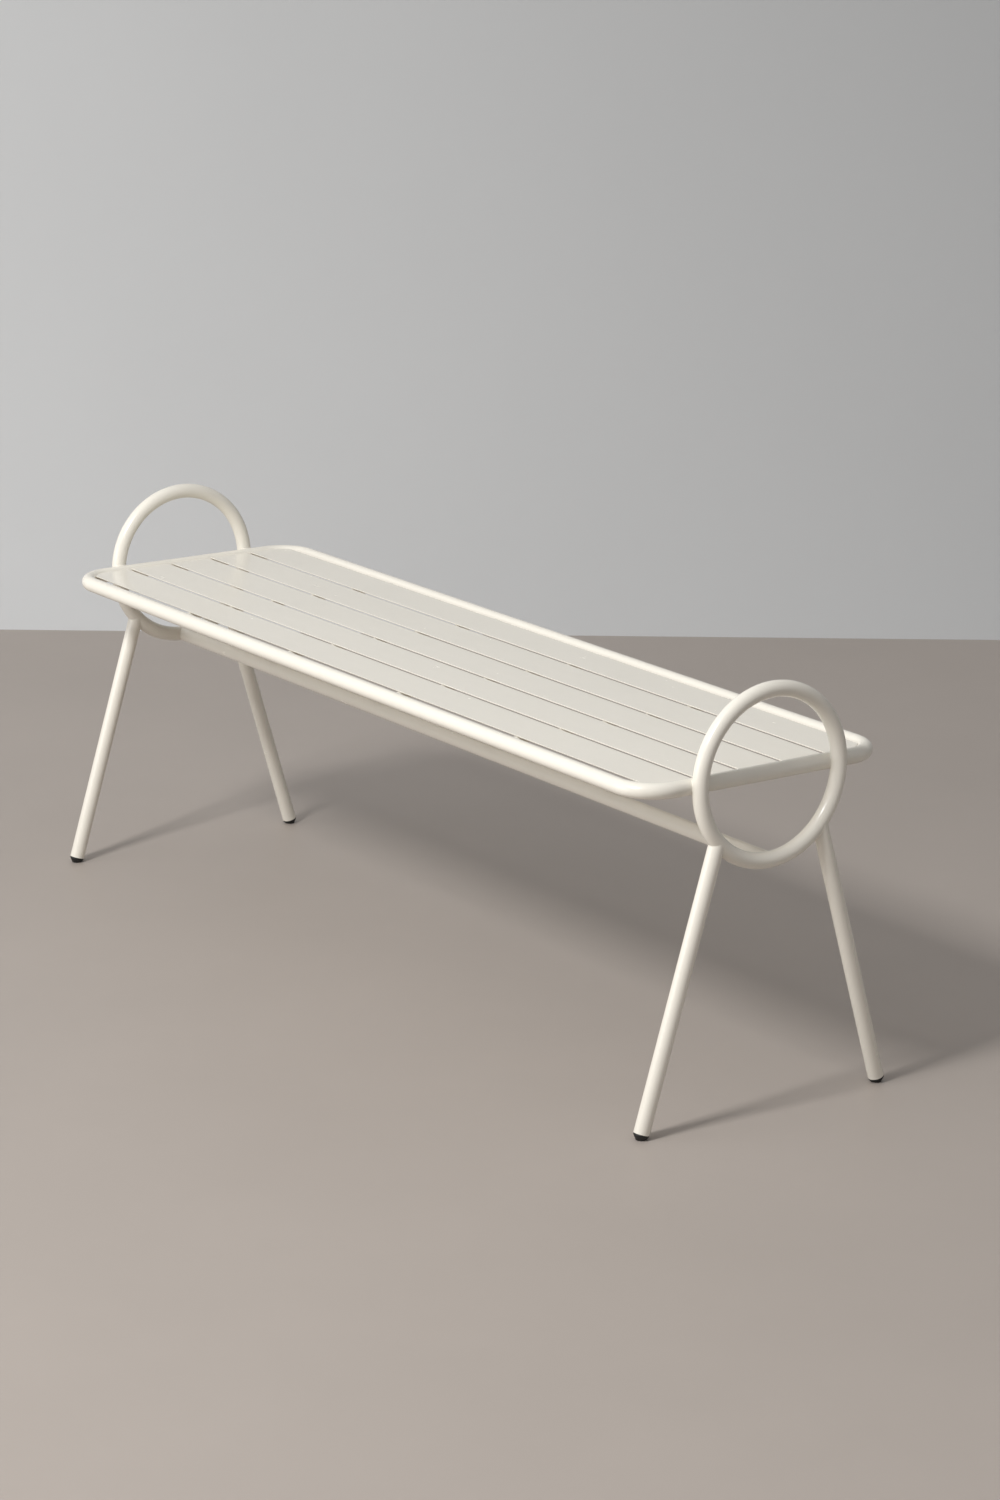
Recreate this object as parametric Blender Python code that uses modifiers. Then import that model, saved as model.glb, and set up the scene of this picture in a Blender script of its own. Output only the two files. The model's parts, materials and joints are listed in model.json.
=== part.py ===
"""Garden bench of welded round tube: a slatted seat, a ring and two splayed legs at each end, a stretcher.

X runs along the bench, the front faces -Y, +Z is up, and the origin is on the floor under its centre.
"""
import math

import bmesh
import bpy
from mathutils import Vector

# Driving dimensions, in metres
SEAT_LENGTH = 1.405                 # over the two end rails
SEAT_DEPTH = 0.396                  # over the front and back rails
SEAT_HEIGHT = 0.450                 # floor to the top of the rails
TUBE_DIAMETER = 0.021               # rails, rings, legs and stretcher are one size of tube
TUBE_WALL = 0.0015
BEND_RADIUS = 0.0475                # seat frame corners, to the tube's centreline

SLAT_COUNT = 5
SLAT_THICKNESS = 0.0015
SLAT_GAP = 0.006                    # between neighbouring slats
RAIL_SLOT = 0.007                   # between an outer slat and its long rail
SLAT_DROP = 0.0035                  # slat tops lie this far below the rail tops

CROSS_BAR_COUNT = 4
CROSS_BAR_PITCH = 0.2675
CROSS_BAR_DIAMETER = 0.010          # round, solid; the slats lie on them

RING_RADIUS = 0.1095                # to the tube's centreline
RING_NEST = 0.0085                  # how deep a ring sits into its end rail
VENT_DIAMETER = 0.008               # hole from a ring's bore into the stretcher's bore

FOOT_SPREAD = 0.383                 # front foot to back foot, on the floor
LEG_JOINT_ANGLE = math.radians(42.3)   # leg joints lie this far round the ring, below its centre

PLUG_HEAD_LENGTH = 0.0075           # floor to the leg's cut end, along the leg
PLUG_COLLAR_LENGTH = 0.0022         # straight part of the head, under the leg's end
PLUG_STEM_LENGTH = 0.020
PLUG_TIP_DIAMETER = 0.0125          # where the head meets the floor

CLEARANCE = 0.0003                  # between pieces that touch or are welded

# Resolution of the solids
RING_SEGMENTS = 48
TUBE_SIDES = 16
RING_BORE_SIDES = 12
BEND_SEGMENTS = 7
MERGE_DISTANCE = 0.00001
SHARP_ANGLE = math.radians(35)

# Derived sizes
TUBE_RADIUS = TUBE_DIAMETER / 2
BORE_RADIUS = TUBE_RADIUS - TUBE_WALL
RAIL_X = SEAT_LENGTH / 2 - TUBE_RADIUS         # end rail centreline
RAIL_Y = SEAT_DEPTH / 2 - TUBE_RADIUS          # long rail centreline
RAIL_Z = SEAT_HEIGHT - TUBE_RADIUS
SLAT_TOP = SEAT_HEIGHT - SLAT_DROP
SLAT_UNDERSIDE = SLAT_TOP - SLAT_THICKNESS
SLATS_DEPTH = 2 * (RAIL_Y - TUBE_RADIUS - RAIL_SLOT)
SLAT_WIDTH = (SLATS_DEPTH - (SLAT_COUNT - 1) * SLAT_GAP) / SLAT_COUNT
SLAT_PITCH = SLAT_WIDTH + SLAT_GAP
RING_X = RAIL_X + TUBE_DIAMETER - RING_NEST
STRETCHER_Z = RAIL_Z - RING_RADIUS
LEG_TOP_Y = RING_RADIUS * math.cos(LEG_JOINT_ANGLE)
LEG_TOP_Z = RAIL_Z - RING_RADIUS * math.sin(LEG_JOINT_ANGLE)
FLOOR_BLOCK_DEPTH = 2 * PLUG_HEAD_LENGTH

SIDES = {"left": -1, "right": 1}
ENDS = {"front": -1, "back": 1}

COAT = {"color": (0.80, 0.77, 0.69), "roughness": 0.38, "metallic": 0.0}
PLASTIC = {"color": (0.02, 0.02, 0.02), "roughness": 0.55, "metallic": 0.0}


def clear_scene():
    for old in list(bpy.data.objects):
        bpy.data.objects.remove(old, do_unlink=True)


def new_collection(name):
    collection = bpy.data.collections.new(name)
    bpy.context.scene.collection.children.link(collection)
    return collection


def move_to(obj, collection):
    for holder in list(obj.users_collection):
        holder.objects.unlink(obj)
    collection.objects.link(obj)


def finish(obj, name, look):
    """Name a finished sub-part, give it its own material and put it with the bench's parts."""
    obj.name = name
    obj.data.name = name
    material = bpy.data.materials.new(name + "_finish")
    material.use_nodes = True
    shader = material.node_tree.nodes["Principled BSDF"]
    shader.inputs["Base Color"].default_value = (*look["color"], 1.0)
    shader.inputs["Roughness"].default_value = look["roughness"]
    shader.inputs["Metallic"].default_value = look["metallic"]
    obj.data.materials.clear()
    obj.data.materials.append(material)
    obj.data.shade_smooth()
    obj.data.set_sharp_from_angle(angle=SHARP_ANGLE)
    move_to(obj, parts)
    return obj


def make_cutter(obj, name):
    obj.name = name
    obj.hide_render = True
    obj.display_type = "WIRE"
    move_to(obj, cutters)
    return obj


def cut(obj, cutter, operation="DIFFERENCE"):
    boolean = obj.modifiers.new(cutter.name, "BOOLEAN")
    boolean.operation = operation
    boolean.solver = "EXACT"
    boolean.object = cutter


def tube_between(start, end, radius, sides):
    """A capped cylinder from one point to another."""
    axis = end - start
    bpy.ops.mesh.primitive_cylinder_add(vertices=sides, radius=radius, depth=axis.length)
    obj = bpy.context.object
    obj.location = (start + end) / 2
    obj.rotation_euler = axis.to_track_quat("Z", "X").to_euler()
    return obj


def box(size, centre):
    """A box with its size in its mesh, so that its object stays unscaled."""
    mesh = bpy.data.meshes.new("box")
    cage = bmesh.new()
    bmesh.ops.create_cube(cage, size=1.0)
    bmesh.ops.scale(cage, vec=size, verts=cage.verts)
    cage.to_mesh(mesh)
    cage.free()
    obj = bpy.data.objects.new("box", mesh)
    bpy.context.scene.collection.objects.link(obj)
    obj.location = centre
    return obj


def mesh_from_curve(curve_object):
    """Turn an evaluated curve into a closed mesh object, so that Booleans can use it."""
    graph = bpy.context.evaluated_depsgraph_get()
    mesh = bpy.data.meshes.new_from_object(curve_object.evaluated_get(graph))
    weld = bmesh.new()
    weld.from_mesh(mesh)
    bmesh.ops.remove_doubles(weld, verts=weld.verts, dist=MERGE_DISTANCE)
    bmesh.ops.recalc_face_normals(weld, faces=weld.faces)
    weld.to_mesh(mesh)
    weld.free()
    obj = bpy.data.objects.new(curve_object.name, mesh)
    obj.matrix_world = curve_object.matrix_world.copy()
    bpy.context.scene.collection.objects.link(obj)
    bpy.data.objects.remove(curve_object, do_unlink=True)
    return obj


def rounded_rectangle(half_x, half_y, radius):
    """Points round a rectangle whose corners are arcs, anticlockwise from above."""
    points = []
    for corner, (sign_x, sign_y) in enumerate([(1, 1), (-1, 1), (-1, -1), (1, -1)]):
        centre = Vector((sign_x * (half_x - radius), sign_y * (half_y - radius), 0))
        for step in range(BEND_SEGMENTS + 1):
            angle = math.pi / 2 * (corner + step / BEND_SEGMENTS)
            points.append(centre + radius * Vector((math.cos(angle), math.sin(angle), 0)))
    return points


def poly_curve(name, points):
    data = bpy.data.curves.new(name, "CURVE")
    spline = data.splines.new("POLY")
    spline.points.add(len(points) - 1)
    for point, place in zip(spline.points, points):
        point.co = (*place, 1.0)
    spline.use_cyclic_u = True
    obj = bpy.data.objects.new(name, data)
    bpy.context.scene.collection.objects.link(obj)
    return obj


def bent_tube(name, radius, sides):
    """The seat frame's path as a closed loop of tube."""
    curve = poly_curve(name, rounded_rectangle(RAIL_X, RAIL_Y, BEND_RADIUS))
    curve.data.dimensions = "3D"
    curve.data.bevel_depth = radius
    curve.data.bevel_resolution = sides // 2 - 2
    curve.location = (0, 0, RAIL_Z)
    bpy.context.view_layer.update()
    return mesh_from_curve(curve)


def seat_opening():
    """The space that the rails leave at the slats' level, less the clearance: slats are trimmed to it."""
    height = max(SLAT_UNDERSIDE - RAIL_Z, RAIL_Z - SLAT_TOP, 0)
    reach = math.sqrt(TUBE_RADIUS ** 2 - height ** 2) + CLEARANCE
    outline = rounded_rectangle(RAIL_X - reach, RAIL_Y - reach, BEND_RADIUS - reach)
    curve = poly_curve("seat_opening", outline)
    curve.data.dimensions = "2D"
    curve.data.fill_mode = "BOTH"
    curve.data.extrude = 2 * SLAT_THICKNESS
    curve.location = (0, 0, SLAT_TOP)
    bpy.context.view_layer.update()
    return make_cutter(mesh_from_curve(curve), "cut_seat_opening")


def ring_tube(side, radius, sides):
    """A closed circle of tube in the vertical plane of one end."""
    bpy.ops.mesh.primitive_torus_add(
        major_radius=RING_RADIUS, minor_radius=radius,
        major_segments=RING_SEGMENTS, minor_segments=sides,
        location=(side * RING_X, 0, RAIL_Z), rotation=(0, math.pi / 2, 0))
    return bpy.context.object


def build_seat_frame():
    frame = finish(bent_tube("seat_frame", TUBE_RADIUS, TUBE_SIDES), "seat_frame", COAT)
    cut(frame, make_cutter(bent_tube("bore", BORE_RADIUS, RING_BORE_SIDES), "cut_seat_frame_bore"))
    for ring_space in ring_spaces.values():
        cut(frame, ring_space)


def build_slats():
    opening = seat_opening()
    for number in range(SLAT_COUNT):
        offset = (number - (SLAT_COUNT - 1) / 2) * SLAT_PITCH
        size = (2 * RAIL_X, SLAT_WIDTH, SLAT_THICKNESS)
        slat = box(size, (0, offset, SLAT_TOP - SLAT_THICKNESS / 2))
        cut(slat, opening, "INTERSECT")
        finish(slat, f"slat_{number + 1}", COAT)


def build_cross_bars():
    length = 2 * (RAIL_Y - TUBE_RADIUS - CLEARANCE)
    height = SLAT_UNDERSIDE - CLEARANCE - CROSS_BAR_DIAMETER / 2
    for number in range(CROSS_BAR_COUNT):
        offset = (number - (CROSS_BAR_COUNT - 1) / 2) * CROSS_BAR_PITCH
        ends = [Vector((offset, end * length / 2, height)) for end in ENDS.values()]
        bar = tube_between(*ends, CROSS_BAR_DIAMETER / 2, TUBE_SIDES)
        finish(bar, f"cross_bar_{number + 1}", COAT)


def build_rings():
    for name, side in SIDES.items():
        ring = finish(ring_tube(side, TUBE_RADIUS, TUBE_SIDES), f"ring_{name}", COAT)
        cut(ring, make_cutter(ring_tube(side, BORE_RADIUS, RING_BORE_SIDES), f"cut_ring_{name}_bore"))
        centre = Vector((side * RING_X, 0, STRETCHER_Z))
        inboard = Vector((side * (RING_X - TUBE_DIAMETER), 0, STRETCHER_Z))
        vent = tube_between(centre, inboard, VENT_DIAMETER / 2, TUBE_SIDES)
        cut(ring, make_cutter(vent, f"cut_ring_{name}_vent"))


def open_tube(name, start, end, ring_names):
    """A straight tube with a bore right through it, coped to the rings it meets."""
    tube = finish(tube_between(start, end, TUBE_RADIUS, TUBE_SIDES), name, COAT)
    beyond = (end - start).normalized() * TUBE_DIAMETER
    bore = tube_between(start - beyond, end + beyond, BORE_RADIUS, TUBE_SIDES)
    cut(tube, make_cutter(bore, f"cut_{name}_bore"))
    for ring_name in ring_names:
        cut(tube, ring_spaces[ring_name])


def build_stretcher():
    reach = Vector((RING_X, 0, 0))
    middle = Vector((0, 0, STRETCHER_Z))
    open_tube("stretcher", middle - reach, middle + reach, SIDES)


def foot_point(side, end):
    return Vector((side * RING_X, end * FOOT_SPREAD / 2, 0))


def leg_direction(side, end):
    top = Vector((side * RING_X, end * LEG_TOP_Y, LEG_TOP_Z))
    return (top - foot_point(side, end)).normalized()


def build_legs():
    for side_name, side in SIDES.items():
        for end_name, end in ENDS.items():
            cut_end = foot_point(side, end) + PLUG_HEAD_LENGTH * leg_direction(side, end)
            top = Vector((side * RING_X, end * LEG_TOP_Y, LEG_TOP_Z))
            open_tube(f"leg_{end_name}_{side_name}", cut_end, top, [side_name])


def plug_profile():
    """Half outline of a foot plug along its leg's axis: stem, shoulder, collar and tapered tip.

    The tip runs on past the floor, where it is cut off level.
    """
    shoulder = PLUG_HEAD_LENGTH - CLEARANCE
    stem_radius = BORE_RADIUS - CLEARANCE
    collar_radius = TUBE_RADIUS - CLEARANCE
    collar_end = shoulder - PLUG_COLLAR_LENGTH
    taper = (collar_radius - PLUG_TIP_DIAMETER / 2) / collar_end
    overrun = PLUG_HEAD_LENGTH / 2
    return [
        (0, shoulder + PLUG_STEM_LENGTH),
        (stem_radius, shoulder + PLUG_STEM_LENGTH),
        (stem_radius, shoulder),
        (collar_radius, shoulder),
        (collar_radius, collar_end),
        (PLUG_TIP_DIAMETER / 2 - taper * overrun, -overrun),
        (0, -overrun),
    ]


def build_foot_plugs():
    size = (2 * SEAT_LENGTH, 2 * FOOT_SPREAD, FLOOR_BLOCK_DEPTH)
    floor = make_cutter(box(size, (0, 0, -FLOOR_BLOCK_DEPTH / 2)), "cut_floor")
    outline = plug_profile()
    for side_name, side in SIDES.items():
        for end_name, end in ENDS.items():
            name = f"foot_plug_{end_name}_{side_name}"
            mesh = bpy.data.meshes.new(name)
            edges = [(point, point + 1) for point in range(len(outline) - 1)]
            mesh.from_pydata([(radius, 0, along) for radius, along in outline], edges, [])
            plug = bpy.data.objects.new(name, mesh)
            bpy.context.scene.collection.objects.link(plug)
            plug.location = foot_point(side, end)
            plug.rotation_euler = leg_direction(side, end).to_track_quat("Z", "X").to_euler()
            turn = plug.modifiers.new("turn", "SCREW")
            turn.steps = TUBE_SIDES
            turn.render_steps = TUBE_SIDES
            turn.use_merge_vertices = True
            turn.merge_threshold = MERGE_DISTANCE
            cut(plug, floor)
            finish(plug, name, PLASTIC)


clear_scene()
parts = new_collection("garden_bench")
cutters = new_collection("cutters")
ring_spaces = {
    name: make_cutter(ring_tube(side, TUBE_RADIUS + CLEARANCE, TUBE_SIDES), f"cut_ring_{name}_space")
    for name, side in SIDES.items()}

build_seat_frame()
build_slats()
build_cross_bars()
build_rings()
build_stretcher()
build_legs()
build_foot_plugs()
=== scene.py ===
"""Finish a garden bench of welded, powder-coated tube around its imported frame, and light it in a studio."""

import json
import math

import bmesh
import bpy
from bpy.props import FloatProperty, FloatVectorProperty, IntProperty, PointerProperty
from mathutils import Matrix, Vector

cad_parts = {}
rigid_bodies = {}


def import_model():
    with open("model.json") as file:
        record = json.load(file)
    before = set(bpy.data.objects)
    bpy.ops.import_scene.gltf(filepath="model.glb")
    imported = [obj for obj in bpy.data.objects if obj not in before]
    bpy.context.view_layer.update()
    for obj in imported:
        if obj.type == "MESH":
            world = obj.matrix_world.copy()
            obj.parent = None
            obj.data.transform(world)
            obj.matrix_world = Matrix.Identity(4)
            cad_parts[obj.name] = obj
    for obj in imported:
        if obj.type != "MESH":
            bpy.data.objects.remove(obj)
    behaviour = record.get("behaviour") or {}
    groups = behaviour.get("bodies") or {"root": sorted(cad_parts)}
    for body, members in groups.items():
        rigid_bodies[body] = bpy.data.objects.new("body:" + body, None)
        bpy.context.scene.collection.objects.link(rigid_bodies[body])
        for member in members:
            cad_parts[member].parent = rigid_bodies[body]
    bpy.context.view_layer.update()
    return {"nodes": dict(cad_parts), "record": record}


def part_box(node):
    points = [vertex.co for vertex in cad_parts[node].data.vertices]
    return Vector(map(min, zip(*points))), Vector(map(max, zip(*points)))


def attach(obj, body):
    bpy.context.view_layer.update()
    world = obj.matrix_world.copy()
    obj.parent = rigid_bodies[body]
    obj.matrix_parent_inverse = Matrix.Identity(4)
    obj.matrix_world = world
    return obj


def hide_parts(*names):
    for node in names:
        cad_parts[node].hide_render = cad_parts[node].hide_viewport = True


bl_info = {
    "name": "Garden Bench",
    "version": (1, 0, 0),
    "blender": (4, 5, 0),
    "location": "3D Viewport > Sidebar > Garden Bench",
    "description": "Builds the finished pieces of a tube-framed garden bench and a plain studio for it",
    "category": "Object",
}

for leftover in list(bpy.data.objects):
    bpy.data.objects.remove(leftover, do_unlink=True)

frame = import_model()

X_AXIS = Vector((1, 0, 0))
Y_AXIS = Vector((0, 1, 0))
Z_AXIS = Vector((0, 0, 1))
SIDES = {"left": -1, "right": 1}
ENDS = {"front": -1, "back": 1}

# Centrelines and radii, measured on the frame's own nodes
RAIL_LOW, RAIL_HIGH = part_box("seat_frame")
TUBE_RADIUS = (RAIL_HIGH.z - RAIL_LOW.z) / 2
RAIL_X = RAIL_HIGH.x - TUBE_RADIUS
RAIL_Y = RAIL_HIGH.y - TUBE_RADIUS
RAIL_Z = RAIL_HIGH.z - TUBE_RADIUS
RING_LOW, RING_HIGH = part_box("ring_right")
RING_X = (RING_LOW.x + RING_HIGH.x) / 2
RING_RADIUS = (RING_HIGH.z - RING_LOW.z) / 2 - TUBE_RADIUS
STRETCHER_Z = RAIL_Z - RING_RADIUS
SLAT_LOW, SLAT_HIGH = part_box("slat_1")
SLAT_END_SETBACK = RAIL_X - SLAT_HIGH.x
SLATS = sorted(node for node in frame["nodes"] if node.startswith("slat_"))
CROSS_BARS = sorted(node for node in frame["nodes"] if node.startswith("cross_bar_"))
FEET = {mount["name"]: Vector(mount["pos_m"]) for mount in frame["record"]["mounts"]}

MERGE_DISTANCE = 0.00001
SMOOTH_ANGLE = math.radians(38)
PLUG_EDGE_ANGLE = math.radians(25)     # sharper edges of a plug are rounded
FACING = 0.9                           # a face this much in a direction, by its normal, faces it
BORE_SHARE = 1.2                       # depth of a leg's bore, in lengths of the plug's stem
SLAT_BEAD_INSET = 0.010                # from a slat's long edge to the bead under its end
TACK_SHARE = 1 / 3                     # length of a tack, in widths of its slat

WALL_SIZE = 20.0
FLOOR_SIZE = 40.0
# The wall's colour carries painted shade: it is made darker towards its top right, along a slant set by these.
WALL_SLOPE = 1.7                       # how fast the wall darkens upwards, against sideways
WALL_PAINTED_SHADE_START, WALL_PAINTED_SHADE_STOP = -0.6, 3.8
SHADE_START, SHADE_STOP = -0.3, 0.9    # where the even light starts and stops fading, along X
LIGHT_AIM = Vector((0, 0, 0.3))
KEY_PLACE, KEY_SIZE = Vector((0.9, -3.4, 3.6)), (0.8, 0.8)
FILL_PLACE, FILL_SIZE = Vector((-1.2, -4.6, 0.9)), (3.2, 1.6)
WORLD_COLOR = (0.98, 0.98, 1.0, 1.0)


class BenchTubeSettings(bpy.types.PropertyGroup):
    sides: IntProperty(name="Sides", description="Faces round each tube", default=56, min=12)
    bend_steps: IntProperty(name="Bend steps", description="Faces along each corner bend", default=20, min=4)
    ring_steps: IntProperty(name="Ring steps", description="Faces round each ring", default=168, min=24)
    bend_radius: FloatProperty(
        name="Bend radius", description="Seat frame corners, to the tube's centreline",
        default=0.0475, unit="LENGTH")
    wall: FloatProperty(name="Wall", description="Thickness of the tube's wall", default=0.0015, unit="LENGTH")
    rim_radius: FloatProperty(
        name="Rim radius", description="Rounding of the coated rim at a leg's cut end",
        default=0.0005, unit="LENGTH")
    leg_joint_angle: FloatProperty(
        name="Leg joint angle", description="How far below its centre a leg meets the ring",
        default=math.radians(42.3), subtype="ANGLE")


class BenchFlatSettings(bpy.types.PropertyGroup):
    slat_edge: FloatProperty(name="Slat edge", description="Edge radius of a slat", default=0.0004, unit="LENGTH")
    bar_edge: FloatProperty(
        name="Bar edge", description="Edge radius at a cross bar's ends", default=0.0007, unit="LENGTH")
    corner_steps: IntProperty(
        name="Corner steps", description="Faces along a slat's corner arc", default=24, min=4)


class BenchPlugSettings(bpy.types.PropertyGroup):
    collar_radius: FloatProperty(
        name="Collar radius", description="Radius of the head just under the leg's end",
        default=0.0101, unit="LENGTH")
    collar_length: FloatProperty(
        name="Collar length", description="Straight part of the head", default=0.0022, unit="LENGTH")
    stem_length: FloatProperty(
        name="Stem length", description="How far the plug goes up the leg", default=0.020, unit="LENGTH")
    stem_radius: FloatProperty(name="Stem radius", description="Radius of the stem", default=0.0087, unit="LENGTH")
    tip_radius: FloatProperty(
        name="Tip radius", description="Radius of the head at the ground", default=0.00625, unit="LENGTH")
    edge_radius: FloatProperty(name="Edge radius", description="Moulded edges", default=0.0006, unit="LENGTH")
    steps: IntProperty(name="Steps", description="Faces round a plug", default=48, min=12)


class BenchWeldSettings(bpy.types.PropertyGroup):
    tube_bead: FloatProperty(
        name="Tube bead", description="Radius of the bead between two tubes", default=0.0014, unit="LENGTH")
    seat_bead: FloatProperty(
        name="Seat bead", description="Radius of the beads under the seat", default=0.0015, unit="LENGTH")
    ripple: FloatProperty(
        name="Ripple", description="How much a bead swells and narrows", default=0.07, subtype="FACTOR")
    ripple_pitch: FloatProperty(
        name="Ripple pitch", description="From one ripple of a bead to the next", default=0.0021, unit="LENGTH")
    sink: FloatProperty(
        name="Sink", description="Share of its radius that a bead sinks into a square corner",
        default=0.45, subtype="FACTOR")


class BenchCoatSettings(bpy.types.PropertyGroup):
    color: FloatVectorProperty(
        name="Colour", description="Cream of the powder coat", default=(0.80, 0.762, 0.675),
        size=3, subtype="COLOR")
    roughness: FloatProperty(
        name="Roughness", description="Satin gloss of the coat", default=0.25, subtype="FACTOR")


class BenchPlasticSettings(bpy.types.PropertyGroup):
    color: FloatVectorProperty(
        name="Colour", description="Black of the foot plugs", default=(0.005, 0.005, 0.005),
        size=3, subtype="COLOR")
    roughness: FloatProperty(
        name="Roughness", description="Roughness of the moulded plastic", default=0.45, subtype="FACTOR")


class BenchStudioSettings(bpy.types.PropertyGroup):
    azimuth: FloatProperty(
        name="Azimuth", description="Camera's turn from the front towards the right-hand end",
        default=math.radians(54.6006), subtype="ANGLE")
    elevation: FloatProperty(
        name="Elevation", description="Camera's height above the horizon", default=math.radians(15.3926),
        subtype="ANGLE")
    roll: FloatProperty(
        name="Roll", description="Camera's lean to the left", default=math.radians(0.5978), subtype="ANGLE")
    distance: FloatProperty(name="Distance", description="Camera to its aim", default=5.6, unit="LENGTH")
    aim: FloatVectorProperty(
        name="Aim", description="Point in the middle of the view", default=(0.0535, 0.0526, 0.3131),
        size=3, subtype="TRANSLATION")
    lens: FloatProperty(name="Lens", description="Focal length in millimetres", default=97.69)
    wall_distance: FloatProperty(
        name="Wall distance", description="From the bench to the wall behind it", default=1.93, unit="LENGTH")
    floor_color: FloatVectorProperty(
        name="Floor colour", description="Pale warm grey", default=(0.39, 0.343, 0.305), size=3, subtype="COLOR")
    wall_color: FloatVectorProperty(
        name="Wall colour", description="Pale grey", default=(0.675, 0.685, 0.685), size=3, subtype="COLOR")
    # Painted shade on the wall: how much darker its colour is made at its top right.
    wall_painted_shade: FloatProperty(
        name="Wall fade", description="How much darker the wall is at its top right than low on the left",
        default=0.38, subtype="FACTOR")
    key_power: FloatProperty(name="Key power", description="Main softbox, in watts", default=162.0)
    fill_power: FloatProperty(name="Fill power", description="Low, wide softbox in front, in watts", default=44.0)
    ambient: FloatProperty(name="Ambient", description="Strength of the even light", default=0.89)
    right_shade: FloatProperty(
        name="Right shade", description="How much of the even light is held back on the right",
        default=0.66, subtype="FACTOR")


class BenchSettings(bpy.types.PropertyGroup):
    tube: PointerProperty(type=BenchTubeSettings)
    flat: PointerProperty(type=BenchFlatSettings)
    plug: PointerProperty(type=BenchPlugSettings)
    weld: PointerProperty(type=BenchWeldSettings)
    coat: PointerProperty(type=BenchCoatSettings)
    plastic: PointerProperty(type=BenchPlasticSettings)
    studio: PointerProperty(type=BenchStudioSettings)


# Meshes

def standing_at(point, direction):
    """The matrix that puts a shape at a point with its Z axis along a direction."""
    return Matrix.Translation(point) @ direction.to_track_quat("Z", "Y").to_matrix().to_4x4()


def new_edges_and_verts(geometry):
    """The verts of a result, and its edges that join two of them."""
    verts = [item for item in geometry if isinstance(item, bmesh.types.BMVert)]
    known = set(verts)
    edges = [item for item in geometry if isinstance(item, bmesh.types.BMEdge)]
    return verts, [edge for edge in edges if edge.verts[0] in known and edge.verts[1] in known]


def without_repeats(items):
    """The items in their own order, each once."""
    return list(dict.fromkeys(items))


def circle_of(cage, centre, direction, radius, sides):
    """A circle of edges, square to a direction."""
    made = bmesh.ops.create_circle(cage, segments=sides, radius=radius, matrix=standing_at(centre, direction))
    verts = made["verts"]
    return verts, without_repeats(edge for vert in verts for edge in vert.link_edges)


def tube_of(cage, start, end, radius, sides):
    """A straight capped tube between two points."""
    axis = end - start
    bmesh.ops.create_cone(
        cage, cap_ends=True, segments=sides, radius1=radius, radius2=radius, depth=axis.length,
        matrix=standing_at((start + end) / 2, axis))


def soften(cage, edges, radius, segments=3):
    """Round some edges, and keep the faces between them flat up to a narrow strip beside the rounding."""
    rounded = bmesh.ops.bevel(
        cage, geom=edges, offset=radius, segments=segments, profile=0.5, affect="EDGES",
        clamp_overlap=True, material=-1)
    rounded_faces = set(rounded["faces"])
    flats = [face for face in cage.faces if face not in rounded_faces]
    bmesh.ops.inset_individual(cage, faces=flats, thickness=radius / 2, use_even_offset=True)


def finish_piece(name, cage, material, nodes=()):
    """Turn a cage into a finished piece that rides on the bench and stands for some of the frame's nodes."""
    mesh = bpy.data.meshes.new(name)
    cage.to_mesh(mesh)
    cage.free()
    mesh.materials.append(material)
    mesh.shade_smooth()
    mesh.set_sharp_from_angle(angle=SMOOTH_ANGLE)
    piece = bpy.data.objects.new(name, mesh)
    bpy.context.scene.collection.objects.link(piece)
    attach(piece, "root")
    if nodes:
        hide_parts(*nodes)
    return piece


def close_and_orient(cage):
    bmesh.ops.remove_doubles(cage, verts=cage.verts, dist=MERGE_DISTANCE)
    bmesh.ops.recalc_face_normals(cage, faces=cage.faces)


# Materials

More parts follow.
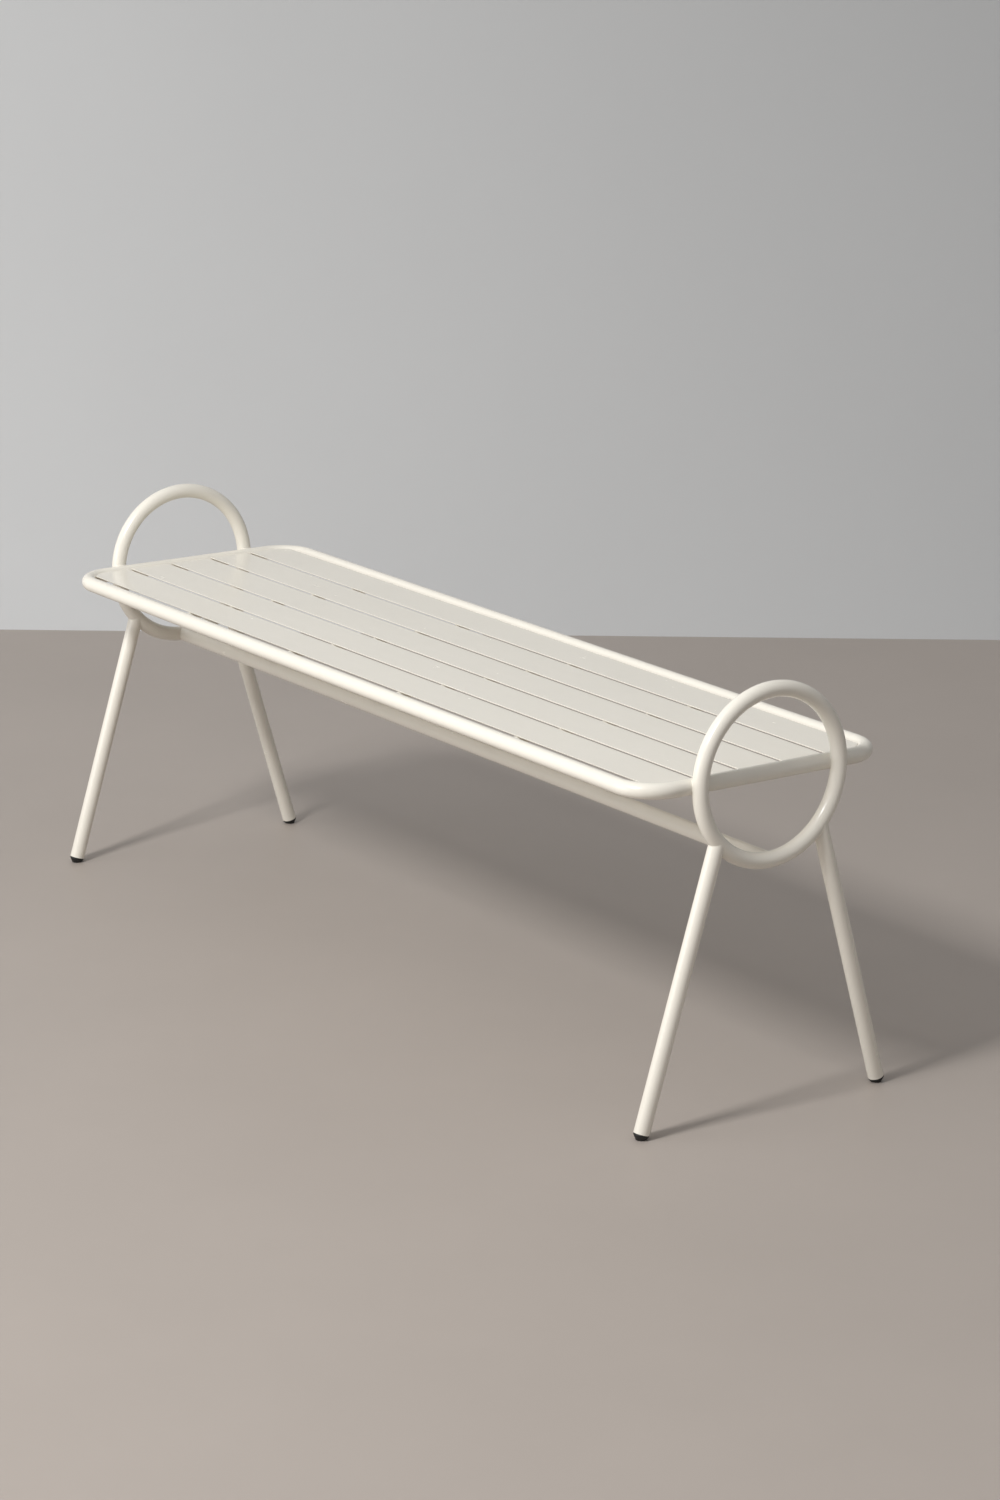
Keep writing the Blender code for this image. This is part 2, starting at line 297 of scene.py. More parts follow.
class NodeBuilder:
    """Adds nodes to one material and links them by name."""

    def __init__(self, name):
        self.material = bpy.data.materials.new(name)
        self.material.use_nodes = True
        self.tree = self.material.node_tree
        self.shader = self.tree.nodes["Principled BSDF"]
        self.place = self.tree.nodes.new("ShaderNodeTexCoord").outputs["Object"]

    def link(self, output, target):
        self.tree.links.new(output, target)

    def noise(self, scale, detail=2.0, roughness=0.5, stretch=None):
        node = self.tree.nodes.new("ShaderNodeTexNoise")
        node.inputs["Scale"].default_value = scale
        node.inputs["Detail"].default_value = detail
        node.inputs["Roughness"].default_value = roughness
        place = self.place
        if stretch:
            mapping = self.tree.nodes.new("ShaderNodeMapping")
            mapping.inputs["Scale"].default_value = stretch
            self.link(place, mapping.inputs["Vector"])
            place = mapping.outputs["Vector"]
        self.link(place, node.inputs["Vector"])
        return node.outputs["Fac"]

    def spread(self, value, low, high, start=0.0, stop=1.0):
        """Map a value's range from start to stop onto low to high."""
        node = self.tree.nodes.new("ShaderNodeMapRange")
        node.inputs["From Min"].default_value = start
        node.inputs["From Max"].default_value = stop
        node.inputs["To Min"].default_value = low
        node.inputs["To Max"].default_value = high
        self.link(value, node.inputs["Value"])
        return node.outputs["Result"]

    def math(self, operation, first, second):
        node = self.tree.nodes.new("ShaderNodeMath")
        node.operation = operation
        for value, socket in zip((first, second), node.inputs):
            if isinstance(value, (int, float)):
                socket.default_value = value
            else:
                self.link(value, socket)
        return node.outputs["Value"]

    def blend(self, share, first, second):
        """Mix two colours by a share."""
        node = self.tree.nodes.new("ShaderNodeMix")
        node.data_type = "RGBA"
        colors = [socket for socket in node.inputs if socket.type == "RGBA"]
        for value, socket in zip((first, second), colors):
            if isinstance(value, tuple):
                socket.default_value = value
            else:
                self.link(value, socket)
        self.link(share, node.inputs["Factor"])
        return next(socket for socket in node.outputs if socket.type == "RGBA")

    def bump(self, height, strength, distance, below=None):
        node = self.tree.nodes.new("ShaderNodeBump")
        node.inputs["Strength"].default_value = strength
        node.inputs["Distance"].default_value = distance
        self.link(height, node.inputs["Height"])
        if below:
            self.link(below, node.inputs["Normal"])
        return node.outputs["Normal"]


def shade(color, factor):
    return (color[0] * factor, color[1] * factor, color[2] * factor, 1.0)


def cream_coat(settings):
    """Satin powder coat: orange peel, a little cloudiness, pigment specks and faint rub marks."""
    known = bpy.data.materials.get("cream_powder_coat")
    if known:
        return known
    nodes = NodeBuilder("cream_powder_coat")
    cloud = nodes.noise(scale=7.0, detail=3.0)
    color = nodes.blend(cloud, shade(settings.color, 0.975), shade(settings.color, 1.02))
    speck = nodes.spread(nodes.noise(scale=1400.0, detail=1.0), 0.0, 1.0, start=0.68, stop=0.78)
    color = nodes.blend(nodes.math("MULTIPLY", speck, 0.25), color, shade(settings.color, 0.80))
    nodes.link(color, nodes.shader.inputs["Base Color"])
    rub = nodes.noise(scale=60.0, detail=4.0, roughness=0.65, stretch=(0.4, 1.0, 1.0))
    rub = nodes.spread(rub, 0.0, 0.03, start=0.5, stop=0.8)
    gloss = nodes.spread(nodes.noise(scale=26.0, detail=3.0), -0.02, 0.02)
    roughness = nodes.math("ADD", nodes.math("ADD", gloss, rub), settings.roughness)
    nodes.link(roughness, nodes.shader.inputs["Roughness"])
    sag = nodes.bump(nodes.noise(scale=55.0, detail=1.0), strength=0.12, distance=0.0004)
    peel = nodes.bump(nodes.noise(scale=620.0, detail=2.0), strength=0.35, distance=0.00008, below=sag)
    nodes.link(peel, nodes.shader.inputs["Normal"])
    nodes.shader.inputs["IOR"].default_value = 1.5
    nodes.shader.inputs["Metallic"].default_value = 0.0
    return nodes.material


def black_plastic(settings):
    """Moulded plastic: a fine spark-eroded grain, and a scuffed, dusty edge where it stands on the ground."""
    known = bpy.data.materials.get("black_moulded_plastic")
    if known:
        return known
    nodes = NodeBuilder("black_moulded_plastic")
    split = nodes.tree.nodes.new("ShaderNodeSeparateXYZ")
    nodes.link(nodes.place, split.inputs["Vector"])
    low = nodes.spread(split.outputs["Z"], 1.0, 0.0, start=0.0002, stop=0.0022)
    dust = nodes.math("MULTIPLY", low, nodes.spread(nodes.noise(scale=420.0, detail=3.0), 0.0, 1.0, 0.42, 0.62))
    color = nodes.blend(nodes.noise(scale=160.0), shade(settings.color, 0.8), shade(settings.color, 1.25))
    color = nodes.blend(nodes.math("MULTIPLY", dust, 0.12), color, (0.16, 0.145, 0.13, 1.0))
    nodes.link(color, nodes.shader.inputs["Base Color"])
    roughness = nodes.math("ADD", nodes.math("MULTIPLY", dust, 0.3), settings.roughness)
    nodes.link(roughness, nodes.shader.inputs["Roughness"])
    grain = nodes.bump(nodes.noise(scale=1800.0, detail=2.0), strength=0.4, distance=0.00006)
    nodes.link(grain, nodes.shader.inputs["Normal"])
    return nodes.material


# Where the tubes meet

def ring_centre(side):
    return Vector((side * RING_X, 0, RAIL_Z))


def leg_top(side, end, angle):
    """Where a leg's centreline meets the ring's."""
    offset = Vector((0, end * math.cos(angle), -math.sin(angle)))
    return ring_centre(side) + RING_RADIUS * offset


def leg_axis(side_name, end_name, angle):
    """A leg's foot point on the ground, its top, and the unit direction up its centreline."""
    foot = FEET[f"foot_{end_name}_{side_name}"]
    top = leg_top(SIDES[side_name], ENDS[end_name], angle)
    return foot, top, (top - foot).normalized()


def leg_cut_height(side_name, end_name, direction):
    """How far up its centreline a leg is cut square, from the lowest point of its rim in the frame."""
    low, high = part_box(f"leg_{end_name}_{side_name}")
    sine = math.hypot(direction.x, direction.y)
    return (low.z + TUBE_RADIUS * sine) / direction.z


def bar_axis(node):
    """A round cross bar's centre and radius."""
    low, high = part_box(node)
    return (low + high) / 2, (high.z - low.z) / 2


def ring_normal(point, side):
    """The outward normal of a ring's tube at a point on it."""
    centre = ring_centre(side)
    spoke = Vector((0, point.y - centre.y, point.z - centre.z)).normalized()
    return (point - centre - RING_RADIUS * spoke).normalized()


def bead_centre(point, normal_a, normal_b, radius, sink):
    """Sink a bead into the corner of two surfaces, all the way where they run into each other."""
    depth = radius * (sink + (1 - sink) * normal_a.dot(normal_b))
    return point - depth * (normal_a + normal_b).normalized()


def turns(count):
    return [2 * math.pi * step / count for step in range(count)]


def rail_joint_path(side, end, settings, count=180):
    """Closed line where a ring's tube runs into the end rail that it nests in."""
    nest = RING_X - RAIL_X
    reach = math.acos(nest / TUBE_RADIUS - 1)
    path = []
    for turn in turns(count):
        around = math.pi + reach * math.cos(turn)
        x = RING_X + TUBE_RADIUS * math.cos(around)
        spoke = RING_RADIUS + TUBE_RADIUS * math.sin(around)
        rise = math.sqrt(max(TUBE_RADIUS ** 2 - (x - RAIL_X) ** 2, 0))
        rise = math.copysign(rise, math.sin(turn))
        point = Vector((side * x, end * math.sqrt(spoke ** 2 - rise ** 2), RAIL_Z + rise))
        rail_normal = Vector((point.x - side * RAIL_X, 0, rise)).normalized()
        path.append(bead_centre(point, ring_normal(point, side), rail_normal, settings.tube_bead, settings.sink))
    return path


def leg_joint_path(side_name, end_name, angle, settings, count=180):
    """Closed line where a leg's tube runs into its ring from below."""
    side = SIDES[side_name]
    foot, _, direction = leg_axis(side_name, end_name, angle)
    across = direction.cross(X_AXIS)
    centre = ring_centre(side)
    path = []
    for turn in turns(count):
        normal = math.cos(turn) * X_AXIS + math.sin(turn) * across
        start = foot + TUBE_RADIUS * normal
        flat_start = Vector((0, start.y - centre.y, start.z - centre.z))
        spoke = RING_RADIUS + TUBE_RADIUS * abs(math.sin(turn))
        half = flat_start.dot(direction)
        along = -half - math.sqrt(half ** 2 - flat_start.length_squared + spoke ** 2)
        point = start + along * direction
        path.append(bead_centre(point, ring_normal(point, side), normal, settings.tube_bead, settings.sink))
    return path


def stretcher_joint_path(side, settings, count=180):
    """Closed line where the stretcher runs into a ring's inboard side."""
    path = []
    for turn in turns(count):
        normal = Vector((0, math.cos(turn), math.sin(turn)))
        drop = RING_RADIUS - TUBE_RADIUS * normal.z
        spoke = math.hypot(TUBE_RADIUS * normal.y, drop)
        inboard = math.sqrt(max(TUBE_RADIUS ** 2 - (spoke - RING_RADIUS) ** 2, 0))
        point = Vector((side * (RING_X - inboard), TUBE_RADIUS * normal.y, STRETCHER_Z + TUBE_RADIUS * normal.z))
        path.append(bead_centre(point, ring_normal(point, side), normal, settings.tube_bead, settings.sink))
    return path


def straight_path(start, end, step=0.0005):
    count = max(4, round((end - start).length / step))
    return [start.lerp(end, number / count) for number in range(count + 1)]


def add_bead(curve, path, closed, radius, settings):
    """One bead of weld on a curve: its ripples, and its round ends where it doesn't close on itself."""
    spline = curve.splines.new("POLY")
    spline.points.add(len(path) - 1)
    spline.use_cyclic_u = closed
    lengths = [0.0]
    for before, after in zip(path, path[1:]):
        lengths.append(lengths[-1] + (after - before).length)
    whole = lengths[-1] + ((path[0] - path[-1]).length if closed else 0.0)
    ripples = max(1, round(whole / settings.ripple_pitch))
    for point, place, length in zip(spline.points, path, lengths):
        point.co = (*place, 1.0)
        swell = 1 + settings.ripple * math.sin(2 * math.pi * ripples * length / whole)
        if not closed:
            to_end = min(length, whole - length)
            swell *= math.sqrt(min(1.0, (to_end + radius / 10) / radius))
        point.radius = swell


def finish_beads(name, beads, closed, radius, context):
    """Make one piece of several beads of weld."""
    settings = context.scene.garden_bench
    curve = bpy.data.curves.new(name, "CURVE")
    curve.dimensions = "3D"
    curve.bevel_depth = radius
    curve.bevel_resolution = 3
    curve.use_fill_caps = True
    for path in beads:
        add_bead(curve, path, closed, radius, settings.weld)
    drawn = bpy.data.objects.new(name + "_line", curve)
    context.scene.collection.objects.link(drawn)
    context.view_layer.update()
    mesh = bpy.data.meshes.new_from_object(drawn.evaluated_get(context.evaluated_depsgraph_get()))
    bpy.data.objects.remove(drawn, do_unlink=True)
    cage = bmesh.new()
    cage.from_mesh(mesh)
    bpy.data.meshes.remove(mesh)
    close_and_orient(cage)
    return finish_piece(name, cage, cream_coat(settings.coat))


class BENCH_OT_seat_frame(bpy.types.Operator):
    """Bend the seat frame's tube round its rectangle"""
    bl_idname = "bench.seat_frame"
    bl_label = "Seat Frame"

    def execute(self, context):
        settings = context.scene.garden_bench
        bend = settings.tube.bend_radius
        cage = bmesh.new()
        place = Vector((0, -RAIL_Y, RAIL_Z))
        heading = X_AXIS.copy()
        verts, edges = circle_of(cage, place, heading, TUBE_RADIUS, settings.tube.sides)
        runs = [RAIL_X - bend, 2 * (RAIL_Y - bend), 2 * (RAIL_X - bend), 2 * (RAIL_Y - bend)]
        for run in runs:
            verts, edges = new_edges_and_verts(bmesh.ops.extrude_edge_only(cage, edges=edges)["geom"])
            bmesh.ops.translate(cage, verts=verts, vec=heading * run)
            place = place + heading * run
            inward = Z_AXIS.cross(heading)
            corner = place + inward * bend
            spun = bmesh.ops.spin(
                cage, geom=verts + edges, cent=corner, axis=Z_AXIS, angle=math.pi / 2,
                steps=settings.tube.bend_steps, use_merge=False, use_duplicate=False)
            verts, edges = new_edges_and_verts(spun["geom_last"])
            place = corner + heading * bend
            heading = inward
        verts, edges = new_edges_and_verts(bmesh.ops.extrude_edge_only(cage, edges=edges)["geom"])
        bmesh.ops.translate(cage, verts=verts, vec=heading * runs[0])
        close_and_orient(cage)
        finish_piece("seat_frame_tube", cage, cream_coat(settings.coat), ["seat_frame"])
        return {"FINISHED"}


class BENCH_OT_slats(bpy.types.Operator):
    """Cut the slats out of one plate that fills the seat frame"""
    bl_idname = "bench.slats"
    bl_label = "Slats"

    def execute(self, context):
        settings = context.scene.garden_bench
        for node in SLATS:
            low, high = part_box(node)
            cage = self.plate(low.z, high.z, settings)
            for edge_y, outward in ((low.y, -1), (high.y, 1)):
                cut = bmesh.ops.bisect_plane(
                    cage, geom=cage.verts[:] + cage.edges[:] + cage.faces[:],
                    plane_co=(0, edge_y, 0), plane_no=(0, outward, 0), clear_outer=True)
                rim = [item for item in cut["geom_cut"] if isinstance(item, bmesh.types.BMEdge)]
                bmesh.ops.edgeloop_fill(cage, edges=rim)
            bmesh.ops.recalc_face_normals(cage, faces=cage.faces)
            level = [face for face in cage.faces if abs(face.normal.z) > FACING]
            edges = without_repeats(edge for face in level for edge in face.edges)
            soften(cage, edges, settings.flat.slat_edge)
            finish_piece(node + "_bar", cage, cream_coat(settings.coat), [node])
        return {"FINISHED"}

    def plate(self, low_z, high_z, settings):
        """A plate with rounded corners that reaches the rails all round."""
        size = Vector((2 * (RAIL_X - SLAT_END_SETBACK), 2 * (RAIL_Y - SLAT_END_SETBACK), high_z - low_z))
        cage = bmesh.new()
        bmesh.ops.create_cube(cage, size=1.0)
        bmesh.ops.scale(cage, vec=size, verts=cage.verts)
        bmesh.ops.translate(cage, vec=(0, 0, (low_z + high_z) / 2), verts=cage.verts)
        upright = [edge for edge in cage.edges if abs((edge.verts[0].co - edge.verts[1].co).z) > size.z / 2]
        bmesh.ops.bevel(
            cage, geom=upright, offset=settings.tube.bend_radius - SLAT_END_SETBACK,
            segments=settings.flat.corner_steps, profile=0.5, affect="EDGES", material=-1)
        return cage


class BENCH_OT_cross_bars(bpy.types.Operator):
    """Make the round bars that carry the slats"""
    bl_idname = "bench.cross_bars"
    bl_label = "Cross Bars"

    def execute(self, context):
        settings = context.scene.garden_bench
        for node in CROSS_BARS:
            middle, radius = bar_axis(node)
            low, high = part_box(node)
            cage = bmesh.new()
            start, end = [Vector((middle.x, y, middle.z)) for y in (low.y, high.y)]
            tube_of(cage, start, end, radius, settings.tube.sides // 2)
            rims = [edge for edge in cage.edges if abs(edge.verts[0].co.y - edge.verts[1].co.y) < radius]
            bmesh.ops.bevel(
                cage, geom=rims, offset=settings.flat.bar_edge, segments=3, profile=0.5, affect="EDGES",
                material=-1)
            finish_piece(node + "_rod", cage, cream_coat(settings.coat), [node])
        return {"FINISHED"}


class BENCH_OT_rings(bpy.types.Operator):
    """Roll the ring of tube at each end"""
    bl_idname = "bench.rings"
    bl_label = "Rings"

    def execute(self, context):
        settings = context.scene.garden_bench
        for side_name, side in SIDES.items():
            centre = ring_centre(side)
            cage = bmesh.new()
            top = centre + RING_RADIUS * Z_AXIS
            verts, edges = circle_of(cage, top, Y_AXIS, TUBE_RADIUS, settings.tube.sides)
            bmesh.ops.spin(
                cage, geom=verts + edges, cent=centre, axis=X_AXIS, angle=2 * math.pi,
                steps=settings.tube.ring_steps, use_merge=True, use_duplicate=False)
            close_and_orient(cage)
            name = f"ring_{side_name}"
            finish_piece(name + "_tube", cage, cream_coat(settings.coat), [name])
        return {"FINISHED"}


class BENCH_OT_stretcher(bpy.types.Operator):
    """Run the stretcher from ring to ring"""
    bl_idname = "bench.stretcher"
    bl_label = "Stretcher"

    def execute(self, context):
        settings = context.scene.garden_bench
        cage = bmesh.new()
        reach = RING_X * X_AXIS
        middle = STRETCHER_Z * Z_AXIS
        tube_of(cage, middle - reach, middle + reach, TUBE_RADIUS - MERGE_DISTANCE, settings.tube.sides)
        finish_piece("stretcher_tube", cage, cream_coat(settings.coat), ["stretcher"])
        return {"FINISHED"}


class BENCH_OT_legs(bpy.types.Operator):
    """Make the legs, each open at its foot with a rounded rim"""
    bl_idname = "bench.legs"
    bl_label = "Legs"

    def execute(self, context):
        settings = context.scene.garden_bench
        for side_name in SIDES:
            for end_name in ENDS:
                foot, top, direction = leg_axis(side_name, end_name, settings.tube.leg_joint_angle)
                cut_end = foot + leg_cut_height(side_name, end_name, direction) * direction
                cage = bmesh.new()
                tube_of(cage, cut_end, top, TUBE_RADIUS - MERGE_DISTANCE, settings.tube.sides)
                self.open_foot(cage, direction, settings)
                name = f"leg_{end_name}_{side_name}"
                finish_piece(name + "_tube", cage, cream_coat(settings.coat), [name])
        return {"FINISHED"}

    def open_foot(self, cage, direction, settings):
        """Hollow the leg from its cut end and round the rim."""
        end_face = min(cage.faces, key=lambda face: face.normal.dot(direction))
        bmesh.ops.inset_region(cage, faces=[end_face], thickness=settings.tube.wall)
        rim = list(end_face.edges)
        outer = [edge for face in cage.faces if face is not end_face and self.faces_down(face, direction)
                 for edge in face.edges]
        pulled = bmesh.ops.extrude_discrete_faces(cage, faces=[end_face])["faces"][0]
        bmesh.ops.translate(cage, verts=pulled.verts[:], vec=direction * settings.plug.stem_length * BORE_SHARE)
        around = [edge for edge in without_repeats(outer + rim)
                  if edge.is_valid and not self.runs_out(edge, direction)]
        bmesh.ops.bevel(
            cage, geom=around, offset=settings.tube.rim_radius, segments=3, profile=0.5, affect="EDGES",
            clamp_overlap=True, material=-1)

    def faces_down(self, face, direction):
        return face.normal.dot(direction) < -FACING

    def runs_out(self, edge, direction):
        """Whether an edge runs from the rim's inside to its outside, so that it isn't part of either circle."""
        faces = edge.link_faces
        return len(faces) == 2 and all(self.faces_down(face, direction) for face in faces)


class BENCH_OT_foot_plugs(bpy.types.Operator):
    """Turn the plastic plugs in the leg ends and cut them level with the ground"""
    bl_idname = "bench.foot_plugs"
    bl_label = "Foot Plugs"

    def execute(self, context):
        settings = context.scene.garden_bench
        plug = settings.plug
        for side_name in SIDES:
            for end_name in ENDS:
                foot, _, direction = leg_axis(side_name, end_name, settings.tube.leg_joint_angle)
                shoulder = leg_cut_height(side_name, end_name, direction) - MERGE_DISTANCE
                outline = self.outline(plug, shoulder)
                outward = direction.cross(X_AXIS).normalized()
                cage = bmesh.new()
                verts = [cage.verts.new(foot + direction * along + outward * radius) for radius, along in outline]
                edges = [cage.edges.new(pair) for pair in zip(verts, verts[1:])]
                bmesh.ops.spin(
                    cage, geom=verts + edges, cent=foot, axis=direction, angle=2 * math.pi, steps=plug.steps,
                    use_merge=True, use_duplicate=False)
                close_and_orient(cage)
                cut = bmesh.ops.bisect_plane(
                    cage, geom=cage.verts[:] + cage.edges[:] + cage.faces[:],
                    plane_co=(0, 0, 0), plane_no=(0, 0, -1), clear_outer=True)
                rim = [item for item in cut["geom_cut"] if isinstance(item, bmesh.types.BMEdge)]
                bmesh.ops.edgeloop_fill(cage, edges=rim)
                bmesh.ops.recalc_face_normals(cage, faces=cage.faces)
                sharp = [edge for edge in cage.edges if edge.calc_face_angle(0) > PLUG_EDGE_ANGLE]
                bmesh.ops.bevel(
                    cage, geom=sharp, offset=plug.edge_radius, segments=3, profile=0.5, affect="EDGES",
                    clamp_overlap=True, material=-1)
                name = f"foot_plug_{end_name}_{side_name}"
                finish_piece(name + "_cap", cage, black_plastic(settings.plastic), [name])
        return {"FINISHED"}

    def outline(self, plug, shoulder):
        """Half outline up the leg's centreline: radius and height, from the stem's top to below the ground."""
        collar_end = shoulder - plug.collar_length
        taper = (plug.collar_radius - plug.tip_radius) / collar_end
        overrun = shoulder / 2
        return [
            (0, shoulder + plug.stem_length),
            (plug.stem_radius, shoulder + plug.stem_length),
            (plug.stem_radius, shoulder),
            (plug.collar_radius, shoulder),
            (plug.collar_radius, collar_end),
            (plug.tip_radius - taper * overrun, -overrun),
            (0, -overrun),
        ]


class BENCH_OT_tube_welds(bpy.types.Operator):
    """Lay the weld beads where rails, legs and stretcher meet the rings"""
    bl_idname = "bench.tube_welds"
    bl_label = "Tube Welds"

    def execute(self, context):
        settings = context.scene.garden_bench
        weld = settings.weld
        angle = settings.tube.leg_joint_angle
        for side_name, side in SIDES.items():
            rails = [rail_joint_path(side, end, weld) for end in ENDS.values()]
            finish_beads(f"weld_rail_{side_name}", rails, True, weld.tube_bead, context)
            legs = [leg_joint_path(side_name, end_name, angle, weld) for end_name in ENDS]
            finish_beads(f"weld_legs_{side_name}", legs, True, weld.tube_bead, context)
            stretcher = [stretcher_joint_path(side, weld)]
            finish_beads(f"weld_stretcher_{side_name}", stretcher, True, weld.tube_bead, context)
        return {"FINISHED"}


class BENCH_OT_seat_welds(bpy.types.Operator):
    """Lay the beads under the seat that hold slats, cross bars and rails together"""
    bl_idname = "bench.seat_welds"
    bl_label = "Seat Welds"

    def execute(self, context):
        weld = context.scene.garden_bench.weld
        bend = context.scene.garden_bench.tube.bend_radius
        finish_beads("weld_slat_ends", self.slat_ends(weld, bend), False, weld.seat_bead, context)
        finish_beads("weld_bar_ends", self.bar_ends(weld), True, weld.seat_bead, context)
        finish_beads("weld_slat_tacks", self.tacks(weld), False, weld.seat_bead, context)
        return {"FINISHED"}

    def slat_ends(self, weld, bend):
        """A bead under each end of each slat, against the end rail, short of the corner bends."""
        paths = []
        limit = RAIL_Y - bend
        for node in SLATS:
            low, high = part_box(node)
            start = max(low.y + SLAT_BEAD_INSET, -limit)
            stop = min(high.y - SLAT_BEAD_INSET, limit)
            for side in SIDES.values():
                x = side * (high.x - weld.seat_bead / 2)
                z = low.z - weld.seat_bead / 3
                paths.append(straight_path(Vector((x, start, z)), Vector((x, stop, z))))
        return paths

    def bar_ends(self, weld):
        """A bead round each end of each cross bar, on the long rail's round."""
        paths = []
        for node in CROSS_BARS:
            middle, radius = bar_axis(node)
            for end in ENDS.values():
                path = []
                for turn in turns(60):
                    normal = Vector((math.cos(turn), 0, math.sin(turn)))
                    point = middle + radius * normal
                    rise = point.z - RAIL_Z
                    point.y = end * (RAIL_Y - math.sqrt(TUBE_RADIUS ** 2 - rise ** 2))
                    rail_normal = Vector((0, point.y - end * RAIL_Y, rise)).normalized()
                    path.append(bead_centre(point, normal, rail_normal, weld.seat_bead, weld.sink))
                paths.append(path)
        return paths

    def tacks(self, weld):
        """Two short beads under each slat, one in each corner between the slat and a cross bar's round."""
        paths = []
        for bar in CROSS_BARS:
            middle, radius = bar_axis(bar)
            for slat in SLATS:
                low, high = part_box(slat)
                z = low.z - weld.seat_bead / 2
                offset = math.sqrt((radius + weld.seat_bead / 2) ** 2 - (z - middle.z) ** 2)
                y = (low.y + high.y) / 2
                half = (high.y - low.y) * TACK_SHARE / 2
                for x in (middle.x - offset, middle.x + offset):
                    paths.append(straight_path(Vector((x, y - half, z)), Vector((x, y + half, z))))
        return paths


class BENCH_OT_studio(bpy.types.Operator):
    """Set up the floor, the wall, the lights and the camera"""
    bl_idname = "bench.studio"
    bl_label = "Studio"

    def execute(self, context):
        studio = context.scene.garden_bench.studio
        level_back = Vector((math.sin(studio.azimuth), -math.cos(studio.azimuth), 0))
        self.floor(studio)
        self.wall(studio, level_back)
        self.lights(context, studio)
        self.camera(context, studio, level_back)
        return {"FINISHED"}

    def plane(self, name, matrix, size, material):
        cage = bmesh.new()
        bmesh.ops.create_grid(cage, x_segments=1, y_segments=1, size=size / 2, matrix=matrix)
        mesh = bpy.data.meshes.new(name)
        cage.to_mesh(mesh)
        cage.free()
        mesh.materials.append(material)
        plane = bpy.data.objects.new(name, mesh)
        bpy.context.scene.collection.objects.link(plane)

    def floor(self, studio):
        nodes = NodeBuilder("studio_floor")
        color = tuple(studio.floor_color)
        cloud = nodes.noise(scale=1.7, detail=5.0, roughness=0.6)
        nodes.link(nodes.blend(cloud, shade(color, 0.93), shade(color, 1.07)), nodes.shader.inputs["Base Color"])
        nodes.shader.inputs["Roughness"].default_value = 0.5
        self.plane("floor", Matrix.Identity(4), FLOOR_SIZE, nodes.material)

    def wall(self, studio, level_back):
        """A wall whose colour is painted darker towards its top right as painted shade, and that a camera behind
        it sees past.
        """
        nodes = NodeBuilder("studio_wall")
        nodes.shader.inputs["Roughness"].default_value = 0.9
        tree = nodes.tree
        # Painted shade: the wall colour darkens along a slant, upwards and to the right.
        slant = tree.nodes.new("ShaderNodeVectorMath")
        slant.operation = "DOT_PRODUCT"
        slant.inputs[1].default_value = Z_AXIS.cross(level_back) + WALL_SLOPE * Z_AXIS
        tree.links.new(nodes.place, slant.inputs[0])
        share = nodes.spread(slant.outputs["Value"], 0.0, 1.0, start=WALL_PAINTED_SHADE_START, stop=WALL_PAINTED_SHADE_STOP)
        painted_shade_color = shade(studio.wall_color, 1 - studio.wall_painted_shade)
        color = nodes.blend(share, shade(studio.wall_color, 1.0), painted_shade_color)
        cloud = nodes.spread(nodes.noise(scale=1.3, detail=5.0, roughness=0.6), 0.0, 0.12)
        nodes.link(nodes.blend(cloud, color, shade(studio.wall_color, 0.5)), nodes.shader.inputs["Base Color"])
        side = tree.nodes.new("ShaderNodeNewGeometry")
        clear = tree.nodes.new("ShaderNodeBsdfTransparent")
        choose = tree.nodes.new("ShaderNodeMixShader")
        tree.links.new(side.outputs["Backfacing"], choose.inputs["Fac"])
        tree.links.new(nodes.shader.outputs["BSDF"], choose.inputs[1])
        tree.links.new(clear.outputs["BSDF"], choose.inputs[2])
        tree.links.new(choose.outputs["Shader"], tree.nodes["Material Output"].inputs["Surface"])
        middle = -studio.wall_distance * level_back + WALL_SIZE / 2 * Z_AXIS
        self.plane("wall", standing_at(middle, level_back), WALL_SIZE, nodes.material)

    def softbox(self, context, name, place, size, power):
        data = bpy.data.lights.new(name, "AREA")
        data.shape = "RECTANGLE"
        data.size, data.size_y = size
        data.energy = power
        lamp = bpy.data.objects.new(name, data)
        lamp.location = place
        lamp.rotation_euler = (LIGHT_AIM - place).to_track_quat("-Z", "Y").to_euler()
        context.scene.collection.objects.link(lamp)

    def lights(self, context, studio):
        self.softbox(context, "key", KEY_PLACE, KEY_SIZE, studio.key_power)
        self.softbox(context, "fill", FILL_PLACE, FILL_SIZE, studio.fill_power)
        world = bpy.data.worlds.new("studio")
        world.use_nodes = True
        world.node_tree.nodes["Background"].inputs["Color"].default_value = WORLD_COLOR
        self.shade_right(world.node_tree, studio)
        context.scene.world = world
        context.scene.view_settings.view_transform = "Standard"

    def shade_right(self, tree, studio):
        """Dim the even light towards the bench's right-hand end, as a black card beside it would."""
        direction = tree.nodes.new("ShaderNodeTexCoord")
        split = tree.nodes.new("ShaderNodeSeparateXYZ")
        fade = tree.nodes.new("ShaderNodeMapRange")
        fade.interpolation_type = "SMOOTHSTEP"
        fade.inputs["From Min"].default_value = SHADE_START
        fade.inputs["From Max"].default_value = SHADE_STOP
        fade.inputs["To Min"].default_value = studio.ambient
        fade.inputs["To Max"].default_value = studio.ambient * (1 - studio.right_shade)
        tree.links.new(direction.outputs["Object"], split.inputs["Vector"])
        tree.links.new(split.outputs["X"], fade.inputs["Value"])
        tree.links.new(fade.outputs["Result"], tree.nodes["Background"].inputs["Strength"])

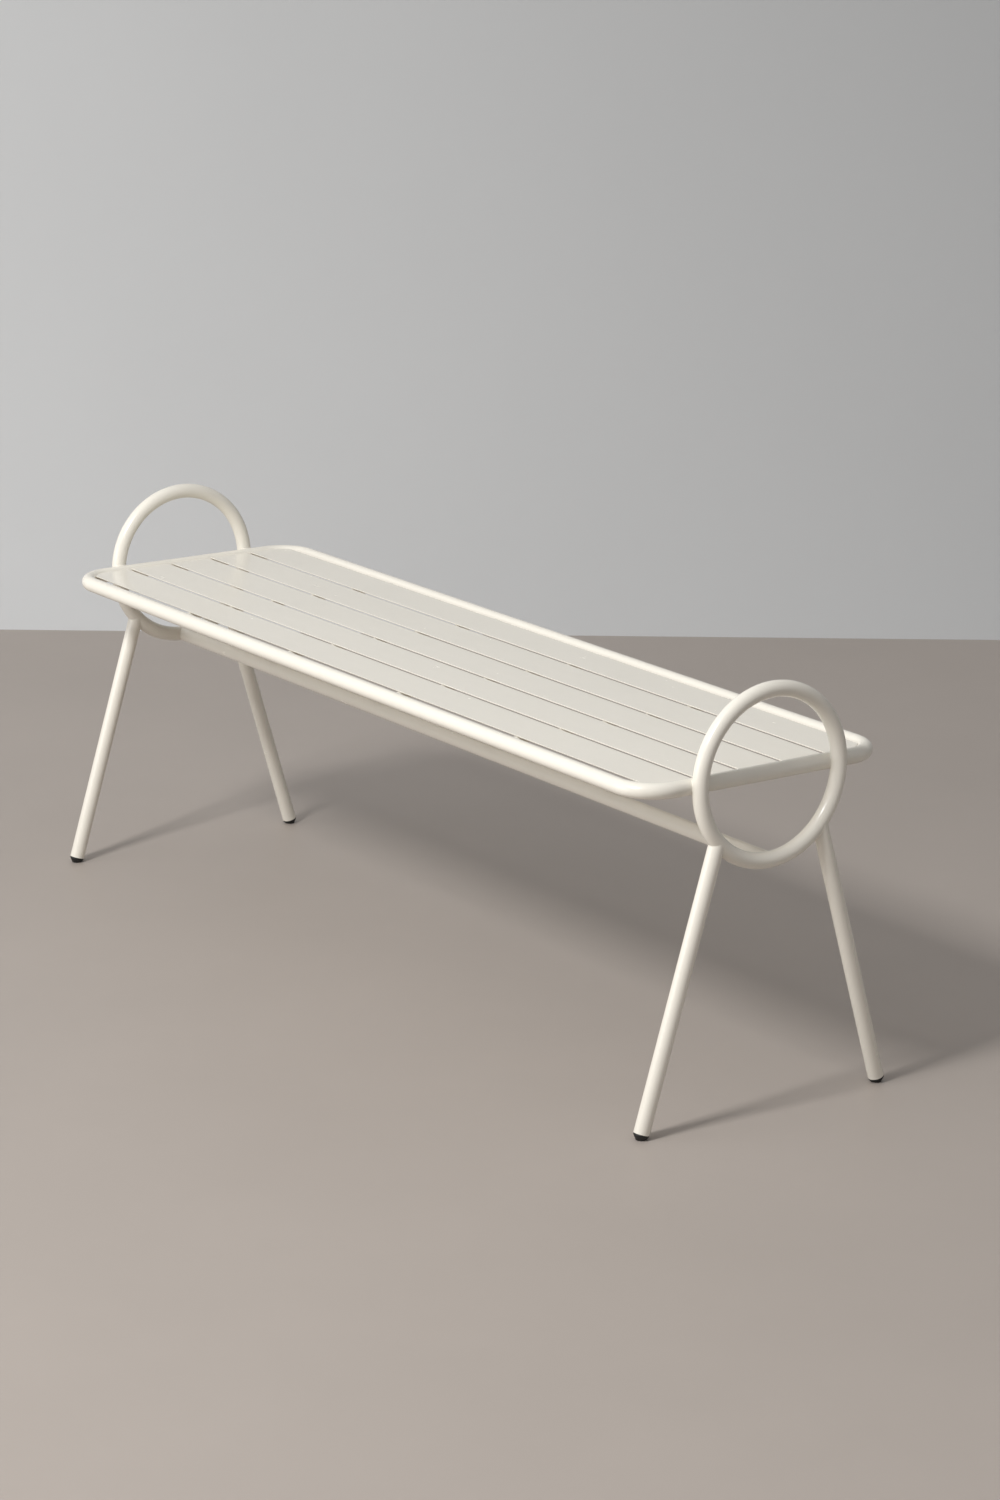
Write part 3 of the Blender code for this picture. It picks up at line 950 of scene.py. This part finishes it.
    def camera(self, context, studio, level_back):
        back = math.cos(studio.elevation) * level_back + math.sin(studio.elevation) * Z_AXIS
        data = bpy.data.cameras.new("camera")
        data.lens = studio.lens
        data.clip_end = 100.0
        camera = bpy.data.objects.new("camera", data)
        camera.location = Vector(studio.aim) + studio.distance * back
        turn = back.to_track_quat("Z", "Y").to_matrix() @ Matrix.Rotation(studio.roll, 3, "Z")
        camera.rotation_euler = turn.to_euler()
        context.scene.collection.objects.link(camera)
        context.scene.camera = camera


class BENCH_PT_panel(bpy.types.Panel):
    """Buttons and sizes for the garden bench"""
    bl_idname = "BENCH_PT_panel"
    bl_label = "Garden Bench"
    bl_space_type = "VIEW_3D"
    bl_region_type = "UI"
    bl_category = "Garden Bench"

    def draw(self, context):
        for operator in OPERATORS:
            self.layout.operator(operator.bl_idname)
        settings = context.scene.garden_bench
        for group in BenchSettings.__annotations__:
            box = self.layout.box()
            box.label(text=group.title())
            part = getattr(settings, group)
            for name in part.__annotations__:
                box.prop(part, name)


OPERATORS = (
    BENCH_OT_studio,
    BENCH_OT_seat_frame,
    BENCH_OT_slats,
    BENCH_OT_cross_bars,
    BENCH_OT_rings,
    BENCH_OT_stretcher,
    BENCH_OT_legs,
    BENCH_OT_foot_plugs,
    BENCH_OT_tube_welds,
    BENCH_OT_seat_welds,
)
CLASSES = (
    BenchTubeSettings,
    BenchFlatSettings,
    BenchPlugSettings,
    BenchWeldSettings,
    BenchCoatSettings,
    BenchPlasticSettings,
    BenchStudioSettings,
    BenchSettings,
    *OPERATORS,
    BENCH_PT_panel,
)


def register():
    for item in CLASSES:
        bpy.utils.register_class(item)
    bpy.types.Scene.garden_bench = PointerProperty(type=BenchSettings)


def unregister():
    del bpy.types.Scene.garden_bench
    for item in reversed(CLASSES):
        bpy.utils.unregister_class(item)


def main():
    register()
    bpy.ops.bench.studio()
    bpy.ops.bench.seat_frame()
    bpy.ops.bench.slats()
    bpy.ops.bench.cross_bars()
    bpy.ops.bench.rings()
    bpy.ops.bench.stretcher()
    bpy.ops.bench.legs()
    bpy.ops.bench.foot_plugs()
    bpy.ops.bench.tube_welds()
    bpy.ops.bench.seat_welds()


if __name__ == "__main__":
    main()
